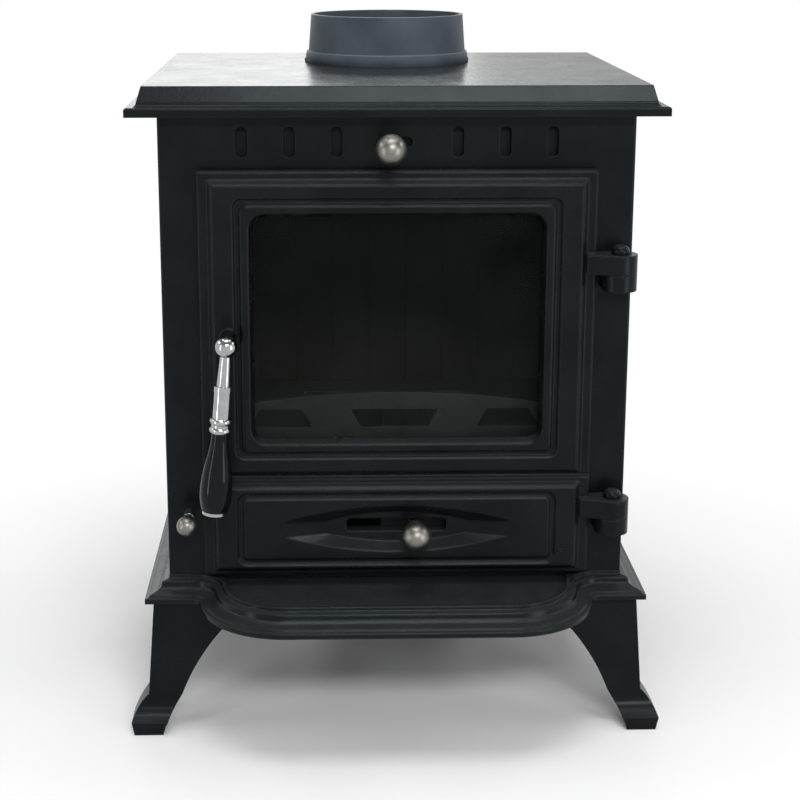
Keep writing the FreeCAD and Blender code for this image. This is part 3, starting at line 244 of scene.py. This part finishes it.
def bright_metal(name, dark, light, rough, grain):
    """Plated metal with a faint turned grain and light handling marks."""
    look = Look(name, {"Metallic": 1.0})
    soft, _ = look.edges(0.3)
    haze = look.noise(6, detail=4)
    lines = look.noise(0.6, detail=2, stretch=(1, 1, 0.15))
    tone = look.ramp(haze, [(0.3, dark), (0.7, light)])
    handled = look.span(haze, rough * 0.75, rough * 1.3)
    sheen = look.maths("ADD", handled, look.span(lines, -grain, grain))
    normal = look.bump(lines, depth=0.01, strength=0.15, normal=soft)
    return look.finish(Base_Color=tone, Roughness=sheen, Normal=normal)


def lacquer(name, dark, light):
    """Glossy lacquer on a turned grip, with fine hairlines."""
    look = Look(name, {"Specular IOR Level": 0.15, "Specular Tint": PAINT_SHEEN})
    tone = look.ramp(look.noise(8, detail=4), [(0.3, dark), (0.7, light)])
    lines = look.noise(0.7, detail=2, stretch=(1, 1, 0.1))
    normal = look.bump(look.noise(12, detail=2), depth=0.05, strength=0.25)
    return look.finish(Base_Color=tone, Roughness=look.span(lines, 0.05, 0.13), Normal=normal)


def stove_glass(name, dark, light):
    """Clear ceramic glass with a faint smoky haze."""
    look = Look(name, {"Specular IOR Level": 0.13, "Specular Tint": PAINT_SHEEN})
    haze = look.noise(45, detail=4)
    tone = look.ramp(haze, [(0.3, dark), (0.7, light)])
    veil = look.span(haze, 0.11, 0.17, start=0.3, end=0.7)
    return look.finish(Base_Color=tone, Roughness=look.span(haze, 0.02, 0.06), Alpha=veil)


ROPE_TONES = [(0.3, (0.05, 0.05, 0.05)), (0.6, (0.17, 0.168, 0.16)), (0.8, (0.30, 0.295, 0.28))]
ROPE_SOOT = (0.04, 0.038, 0.036)


def glass_rope(name):
    """Braided glass-fibre rope, grey with pale yarns and soot."""
    look = Look(name, {"Specular IOR Level": 0.2, "Sheen Weight": 0.2})
    yarn = look.noise(0.9, detail=3)
    soot = look.span(look.noise(18, detail=4), 0.0, 0.7, start=0.4, end=0.7)
    dulled = look.blend(soot, look.ramp(yarn, ROPE_TONES), ROPE_SOOT)
    normal = look.bump(yarn, depth=0.25, strength=0.7)
    return look.finish(Base_Color=dulled, Roughness=look.span(yarn, 0.8, 0.95), Normal=normal)


PAINT_DARK, PAINT_LIGHT, PAINT_SHINE, PAINT_ROUGH = black(0.0044), black(0.0072), 0.10, 0.26
BASE_DARK, BASE_LIGHT, BASE_SHINE = black(0.0034), black(0.0056), 0.15
# The collar's blue-grey is the black paint with a painted reflection of the pale light above it
COLLAR_DARK, COLLAR_LIGHT = (0.050, 0.061, 0.074), (0.078, 0.094, 0.114)
SHEET_DARK, SHEET_LIGHT = (0.0036, 0.0044, 0.0049), (0.0062, 0.0075, 0.0082)
STEEL_DARK, STEEL_LIGHT = (0.30, 0.30, 0.29), (0.42, 0.42, 0.41)
NICKEL_DARK, NICKEL_LIGHT = (0.165, 0.162, 0.146), (0.22, 0.217, 0.197)
CHROME_DARK, CHROME_LIGHT = (0.34, 0.344, 0.348), (0.42, 0.424, 0.428)
GRIP_DARK, GRIP_LIGHT = (0.0025, 0.0027, 0.003), (0.0045, 0.0048, 0.0055)
GLASS_DARK, GLASS_LIGHT = (0.010, 0.011, 0.0105), (0.018, 0.0195, 0.019)

LOOKS = {
    "stove_black": iron_paint("stove_black", PAINT_DARK, PAINT_LIGHT, PAINT_SHINE, PAINT_ROUGH),
    "grate_iron": raw_iron("grate_iron"),
    "liner_board": board("liner_board"),
    "sheet_steel": rolled_steel("sheet_steel", SHEET_DARK, SHEET_LIGHT, rough=0.5, metal=0.0),
    "plain_steel": rolled_steel("plain_steel", STEEL_DARK, STEEL_LIGHT, rough=0.34, metal=1.0),
    "knob_nickel": bright_metal("knob_nickel", NICKEL_DARK, NICKEL_LIGHT, rough=0.38, grain=0.05),
    "handle_chrome": bright_metal("handle_chrome", CHROME_DARK, CHROME_LIGHT, rough=0.12, grain=0.02),
    "grip_black": lacquer("grip_black", GRIP_DARK, GRIP_LIGHT),
    "stove_glass": stove_glass("stove_glass", GLASS_DARK, GLASS_LIGHT),
    "seal_rope": glass_rope("seal_rope"),
}

# Variants of the black paint on single castings: a collar in a lighter blue-grey that is a painted
# reflection, and softer edges on base and door
VARIANTS = {
    "flue_collar": iron_paint("collar_painted_reflection", COLLAR_DARK, COLLAR_LIGHT, shine=0.13, rough=0.45),
    "base_plate": iron_paint("moulded_black", BASE_DARK, BASE_LIGHT, BASE_SHINE, PAINT_ROUGH,
                             edge_round=2.2, wear_and_highlight=0.25),
    "door_frame": iron_paint("door_black", PAINT_DARK, PAINT_LIGHT, PAINT_SHINE, PAINT_ROUGH,
                             edge_round=2.5, wear_and_highlight=0.45),
}


def paint(thing, look):
    thing.data.materials.clear()
    thing.data.materials.append(look)


for row in frame["record"]["subparts"]:
    paint(nodes[row["node"]], VARIANTS.get(row["node"], LOOKS[row["material_slot"]]))


# Small pieces

SHARP = math.radians(35)


def piece(name, shape, body, slot):
    """A mesh piece that rides on a body and has a slot's finish."""
    mesh = bpy.data.meshes.new(name)
    bmesh.ops.recalc_face_normals(shape, faces=shape.faces)
    shape.to_mesh(mesh)
    shape.free()
    mesh.set_sharp_from_angle(angle=SHARP)
    made = placed(name, mesh)
    paint(made, LOOKS[slot])
    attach(made, body)
    return made


def skin(shape, loops, closed=False):
    """Smooth faces between loops of points. The last meets the first if closed, or else both ends shut."""
    pairs = list(zip(loops, loops[1:]))
    if closed:
        pairs.append((loops[-1], loops[0]))
    for low, high in pairs:
        for k in range(len(low)):
            after = (k + 1) % len(low)
            shape.faces.new((low[k], low[after], high[after], high[k])).smooth = True
    if not closed:
        shape.faces.new(loops[0])
        shape.faces.new(loops[-1])


def ring_radius(radius, flats, turn):
    """A round ring's radius, or a polygon's with that many flats."""
    if not flats:
        return radius
    step = TURN / flats
    return radius / math.cos((turn + step / 2) % step - step / 2)


def turned(shape, seat, axis, rings, closed=False, steps=24):
    """Skins rings of radius, height and flats round an axis."""
    turn = Vector((0, 0, 1)).rotation_difference(axis).to_matrix()
    loops = []
    for radius, height, flats in rings:
        loop = []
        for k in range(steps):
            angle = TURN * k / steps
            reach = ring_radius(radius, flats, angle)
            point = Vector((reach * math.cos(angle), reach * math.sin(angle), height))
            loop.append(shape.verts.new(seat + turn @ point * MM))
        loops.append(loop)
    skin(shape, loops, closed)


ROUND, HEX = 0, 6
SUNK = 0.3
BACKWARD, FORWARD = Vector((0, 1, 0)), Vector((0, -1, 0))
UPWARD, DOWNWARD = Vector((0, 0, 1)), Vector((0, 0, -1))


def screw(shape, seat, axis, head, rise):
    """A domed screw head with a six-sided socket, sunk a little into its seat."""
    socket = 0.3 * head
    turned(shape, seat, axis, [
        (head / 2, -SUNK, ROUND), (head / 2, 0.25 * rise, ROUND), (0.44 * head, 0.7 * rise, ROUND),
        (0.34 * head, rise, ROUND), (socket * 0.7, rise, HEX), (socket * 0.62, 0.35 * rise, HEX),
    ])


def nut(shape, seat, axis, bolt, flats, rise):
    """A washer with a chamfered six-sided nut on it, round a bolt."""
    bore, rim, chamfer, washer = 0.5 * bolt, 0.62 * flats, 0.46 * flats, 0.2 * rise
    turned(shape, seat, axis, [
        (bore, 0, ROUND), (rim, 0, ROUND), (rim, washer, ROUND), (chamfer, washer, ROUND),
        (0.5 * flats, washer + 0.1 * rise, HEX), (0.5 * flats, 0.9 * rise, HEX),
        (chamfer, rise, ROUND), (bore, rise, ROUND),
    ], closed=True)


CLIP_FACE, CLIP_HEAD, CLIP_RISE = -1.5, 6.4, 2
CLIP_SCREW_X, CLIP_LOW_Z, CLIP_HIGH_Z, CLIP_STEP = 122.5, 231, 431.5, 55
clip_middle = (CLIP_LOW_Z + CLIP_HIGH_Z) / 2
clip_spots = [(0, CLIP_LOW_Z), (0, CLIP_HIGH_Z)]
for x in (-CLIP_SCREW_X, CLIP_SCREW_X):
    clip_spots += [(x, clip_middle - CLIP_STEP), (x, clip_middle + CLIP_STEP)]
clip_screws = bmesh.new()
for x, z in clip_spots:
    screw(clip_screws, spot(x, CLIP_FACE, z), BACKWARD, CLIP_HEAD, CLIP_RISE)
piece("glass_clip_screws", clip_screws, "door", "plain_steel")

GUIDE_HEAD, GUIDE_RISE = 4.4, 1.4
AIR_GUIDE_FACE, AIR_GUIDE_LEVELS, AIR_GUIDE_ACROSS = 1.6, (160.5, 186.5), (-108, -36, 36, 108)
AIRWASH_GUIDE_FACE, AIRWASH_GUIDE_LEVELS, AIRWASH_GUIDE_ACROSS = 13.6, (456.4, 489), (-130, -62, 62, 130)


def guide_screws(name, body, face, levels, across):
    """The screws in the two guides of a slider."""
    screws = bmesh.new()
    for z in levels:
        for x in across:
            screw(screws, spot(x, face, z), BACKWARD, GUIDE_HEAD, GUIDE_RISE)
    piece(name, screws, body, "plain_steel")


guide_screws("air_guide_screws", "door", AIR_GUIDE_FACE, AIR_GUIDE_LEVELS, AIR_GUIDE_ACROSS)
guide_screws("airwash_guide_screws", "stove", AIRWASH_GUIDE_FACE, AIRWASH_GUIDE_LEVELS, AIRWASH_GUIDE_ACROSS)

ROD_SPOTS = [(152, 18), (-152, 18), (164, 294), (-164, 294)]
ROD_LOW, ROD_HIGH, ROD, ROD_NUT, ROD_NUT_RISE = 128, 507, 8, 13, 7.5
rod_nuts = bmesh.new()
for x, y in ROD_SPOTS:
    nut(rod_nuts, spot(x, y, ROD_LOW), UPWARD, ROD, ROD_NUT, ROD_NUT_RISE)
    nut(rod_nuts, spot(x, y, ROD_HIGH), DOWNWARD, ROD, ROD_NUT, ROD_NUT_RISE)
piece("tie_rod_nuts", rod_nuts, "stove", "plain_steel")

PIN_SPOT = (129, -19, 153)
PIN_RINGS = [(1.9, -0.5, ROUND), (1.9, 0.2, ROUND), (1.5, 0.5, ROUND), (0.9, 0.5, ROUND), (0.5, 0.1, ROUND)]
door_pin = bmesh.new()
turned(door_pin, spot(*PIN_SPOT), FORWARD, PIN_RINGS)
piece("door_pin", door_pin, "door", "stove_black")


def ring_path(half, low, high, corner, pitch):
    """Points and outward ways round an upright rounded rectangle, evenly spaced."""
    centres = [(half - corner, low + corner), (half - corner, high - corner)]
    centres += [(corner - half, high - corner), (corner - half, low + corner)]
    lengths = [high - low - 2 * corner, 2 * (half - corner)] * 2
    bends = max(3, round(corner * QUARTER / pitch))
    points = []
    for k, ((centre_x, centre_z), length) in enumerate(zip(centres, lengths)):
        start = (k - 1) * QUARTER
        for b in range(bends):
            angle = start + (b / bends) * QUARTER
            out = (math.cos(angle), math.sin(angle))
            points.append((centre_x + corner * out[0], centre_z + corner * out[1], out))
        angle = start + QUARTER
        out = (math.cos(angle), math.sin(angle))
        x, z = centre_x + corner * out[0], centre_z + corner * out[1]
        count = max(2, round(length / pitch))
        for c in range(count):
            run = length * c / count
            points.append((x - out[1] * run, z + out[0] * run, out))
    return points


def braid(shape, path, depth_y, wide, deep, sides, knot, cut):
    """A soft band round a path: a squarish section whose surface is crossed by two sets of strands."""
    loops = []
    for i, (x, z, out) in enumerate(path):
        loop = []
        for k in range(sides):
            angle = TURN * k / sides
            strand = math.sin(knot * i + 2 * angle) * math.sin(knot * i - 2 * angle)
            fat = 1 - cut * (0.5 - 0.5 * strand)
            square = (abs(math.cos(angle)) ** 3 + abs(math.sin(angle)) ** 3) ** (-1 / 3)
            reach = fat * square
            side, rise = reach * math.cos(angle) * wide / 2, reach * math.sin(angle) * deep / 2
            loop.append(shape.verts.new(spot(x + out[0] * side, depth_y + rise, z + out[1] * side)))
        loops.append(loop)
    skin(shape, loops, closed=True)


ROPE_HALF, ROPE_LOW, ROPE_HIGH, ROPE_CORNER, ROPE_PITCH = 143.5, 139.6, 445.5, 8, 1.3
ROPE_MIDDLE, ROPE_WIDE, ROPE_DEEP = -3.65, 7.8, 6.5
rope_path = ring_path(ROPE_HALF, ROPE_LOW, ROPE_HIGH, ROPE_CORNER, ROPE_PITCH)
rope = bmesh.new()
braid(rope, rope_path, ROPE_MIDDLE, ROPE_WIDE, ROPE_DEEP, sides=16, knot=0.55, cut=0.22)
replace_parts(piece("rope_seal_braid", rope, "door", "seal_rope"), "door_rope_seal")

TAPE_HALF, TAPE_LOW, TAPE_HIGH, TAPE_CORNER, TAPE_PITCH = 114, 239.5, 423, 4, 2
TAPE_MIDDLE, TAPE_WIDE, TAPE_DEEP = -8.4, 6.8, 2.1
tape_path = ring_path(TAPE_HALF, TAPE_LOW, TAPE_HIGH, TAPE_CORNER, TAPE_PITCH)
tape = bmesh.new()
braid(tape, tape_path, TAPE_MIDDLE, TAPE_WIDE, TAPE_DEEP, sides=10, knot=1.2, cut=0.1)
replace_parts(piece("glass_tape", tape, "door", "seal_rope"), "glass_gasket")


def wire(shape, points, radius, sides=12):
    """A round wire through points."""
    loops = []
    for i, point in enumerate(points):
        before, after = points[max(i - 1, 0)], points[min(i + 1, len(points) - 1)]
        turn = (after - before).to_track_quat("Z", "Y").to_matrix()
        loop = []
        for k in range(sides):
            angle = TURN * k / sides
            way = Vector((math.cos(angle), math.sin(angle), 0))
            loop.append(shape.verts.new(point + turn @ way * radius * MM))
        loops.append(loop)
    skin(shape, loops)


PULL_HALF, PULL_BEND, PULL_FRONT, PULL_SEAT, PULL_Z = 30, 5, 9, 17, 155
PULL_WIRE, PULL_BEND_STEPS, PULL_WASHER_Y = 1.7, 6, 16
PULL_WASHER = [(1.6, -0.5, ROUND), (4, -0.3, ROUND), (4, 0.8, ROUND), (3.2, 1.3, ROUND), (1.6, 1.3, ROUND)]
pull_points = [spot(-PULL_HALF, PULL_SEAT, PULL_Z)]
for side, start in ((-1, 2 * QUARTER), (1, 3 * QUARTER)):
    for k in range(PULL_BEND_STEPS + 1):
        angle = start + k / PULL_BEND_STEPS * QUARTER
        bend_x = side * (PULL_HALF - PULL_BEND) + PULL_BEND * math.cos(angle)
        bend_y = PULL_FRONT + PULL_BEND + PULL_BEND * math.sin(angle)
        pull_points.append(spot(bend_x, bend_y, PULL_Z))
pull_points.append(spot(PULL_HALF, PULL_SEAT, PULL_Z))
pull = bmesh.new()
wire(pull, pull_points, PULL_WIRE)
for x in (-PULL_HALF, PULL_HALF):
    turned(pull, spot(x, PULL_WASHER_Y, PULL_Z), FORWARD, PULL_WASHER)
piece("ash_pan_pull", pull, "stove", "plain_steel")


# Floor and light

WHITE = (1, 1, 1, 1)


def background_rays(tree):
    """1 for rays that see the background: straight, mirrored or through glass."""
    path = tree.nodes.new("ShaderNodeLightPath")
    seen = path.outputs["Is Camera Ray"]
    for name in ("Is Glossy Ray", "Is Transmission Ray"):
        most = tree.nodes.new("ShaderNodeMath")
        most.operation = "MAXIMUM"
        tree.links.new(seen, most.inputs[0])
        tree.links.new(path.outputs[name], most.inputs[1])
        seen = most.outputs["Value"]
    return seen


# The world: a weak even light, seen as white walls under a darker ceiling
AMBIENT = 0.16
WALL_TOP, CEILING_FROM, CEILING_TONE = 0.25, 0.6, 0.35
world = bpy.data.worlds.new("studio")
bpy.context.scene.world = world
world.use_nodes = True
tree = world.node_tree
even = tree.nodes["Background"]
even.inputs["Color"].default_value = WHITE
even.inputs["Strength"].default_value = AMBIENT
seen_room = tree.nodes.new("ShaderNodeBackground")
seen_room.inputs["Strength"].default_value = 1
way = tree.nodes.new("ShaderNodeTexCoord")
rise = tree.nodes.new("ShaderNodeSeparateXYZ")
tree.links.new(way.outputs["Generated"], rise.inputs["Vector"])
room = tree.nodes.new("ShaderNodeValToRGB")
walls, ceiling = room.color_ramp.elements
walls.position, walls.color = WALL_TOP, WHITE
ceiling.position, ceiling.color = CEILING_FROM, (CEILING_TONE, CEILING_TONE, CEILING_TONE, 1)
tree.links.new(rise.outputs["Z"], room.inputs["Fac"])
tree.links.new(room.outputs["Color"], seen_room.inputs["Color"])
mix = tree.nodes.new("ShaderNodeMixShader")
tree.links.new(background_rays(tree), mix.inputs["Fac"])
tree.links.new(even.outputs["Background"], mix.inputs[1])
tree.links.new(seen_room.outputs["Background"], mix.inputs[2])
tree.links.new(mix.outputs["Shader"], tree.nodes["World Output"].inputs["Surface"])

# The floor keeps the stove's shadow close by, and fades to plain white further out
FLOOR_HALF, SHADOW_NEAR, SHADOW_FAR = 6.0, 0.2, 0.6
FLOOR_TONES = [(0.3, (0.89, 0.89, 0.89)), (0.7, (0.91, 0.91, 0.91))]
floor_shape = bmesh.new()
bmesh.ops.create_grid(floor_shape, x_segments=1, y_segments=1, size=FLOOR_HALF)
floor_mesh = bpy.data.meshes.new("floor")
floor_shape.to_mesh(floor_mesh)
floor_shape.free()
floor = placed("floor", floor_mesh)
floor_look = Look("floor", {"Roughness": 0.9, "Specular IOR Level": 0.1})
floor_look.finish(Base_Color=floor_look.ramp(floor_look.noise(300, detail=3), FLOOR_TONES))
away = floor_look.add("VectorMath", {0: floor_look.place}, operation="LENGTH").outputs["Value"]
fade = floor_look.span(away, 0.0, 1.0, start=SHADOW_NEAR, end=SHADOW_FAR)
lit = floor_look.maths("MULTIPLY", fade, background_rays(floor_look.tree))
glow = floor_look.add("Emission", {"Color": WHITE, "Strength": 1.0}).outputs["Emission"]
matt = floor_look.shader.outputs["BSDF"]
joined = floor_look.add("MixShader", {"Fac": lit, 1: matt, 2: glow}).outputs["Shader"]
floor_look.tree.links.new(joined, floor_look.tree.nodes["Material Output"].inputs["Surface"])
paint(floor, floor_look.material)


def lamp(name, place, aim, wide, high, watts):
    """A soft rectangular lamp that faces a point."""
    data = bpy.data.lights.new(name, "AREA")
    data.shape = "RECTANGLE"
    data.size, data.size_y = wide, high
    data.energy = watts
    made = placed(name, data)
    made.location = place
    made.rotation_euler = (Vector(aim) - Vector(place)).to_track_quat("-Z", "Y").to_euler()
    made.visible_camera = False


MIDDLE, WINDOW, BACK, HANDLE = (0, 0, 0.3), (0, 0, 0.4), (0, 0, 0.5), (-0.1, -0.15, 0.33)
lamp("key", (0.3, -2.1, 1.5), WINDOW, wide=1.1, high=0.32, watts=27)
lamp("ceiling", (0.0, -0.6, 2.1), MIDDLE, wide=0.9, high=0.5, watts=13)
lamp("back", (-0.58, 2.4, 1.0), BACK, wide=1.8, high=0.5, watts=6.8)
lamp("right", (0.62, -0.68, 0.33), HANDLE, wide=0.26, high=0.62, watts=2.0)
lamp("left", (-0.8, -0.62, 0.33), HANDLE, wide=0.09, high=0.62, watts=1.4)

# Weaker lamps of the same kind for the sides and the back
SIDES = {"right": (1, 0), "left": (-1, 0), "back": (0, 1)}
SIDE_KEY_AWAY, SIDE_KEY_UP, SIDE_CEILING_AWAY, SIDE_CEILING_UP = 2.0, 1.5, 0.8, 2.0
for name, (x, y) in SIDES.items():
    key_place = (SIDE_KEY_AWAY * x, SIDE_KEY_AWAY * y, SIDE_KEY_UP)
    lamp(name + "_key", key_place, WINDOW, wide=0.8, high=0.3, watts=7)
    ceiling_place = (SIDE_CEILING_AWAY * x, SIDE_CEILING_AWAY * y, SIDE_CEILING_UP)
    lamp(name + "_ceiling", ceiling_place, MIDDLE, wide=0.9, high=0.3, watts=2.6)


# Camera: its place, how far it looks down and to the right in degrees, its focal length in pixels,
# and the pixel of the 800 x 800 picture that its axis meets

PICTURE = 800
FOCAL = 1636
CENTRE_X, CENTRE_Y = 364, 304
CAMERA_SPOT = (-54.7, -1221.8, 632)
CAMERA_DOWN, CAMERA_RIGHT = 13.087, 1.386
SENSOR = 36
eye_data = bpy.data.cameras.new("camera")
eye_data.sensor_width = SENSOR
eye_data.lens = FOCAL / PICTURE * SENSOR
eye_data.shift_x = (PICTURE / 2 - CENTRE_X) / PICTURE
eye_data.shift_y = (CENTRE_Y - PICTURE / 2) / PICTURE
eye = placed("camera", eye_data)
eye.location = spot(*CAMERA_SPOT)
eye.rotation_euler = Euler((math.radians(90 - CAMERA_DOWN), 0, -math.radians(CAMERA_RIGHT)))
bpy.context.scene.camera = eye
bpy.context.scene.view_settings.view_transform = "Standard"

bpy.context.view_layer.update()
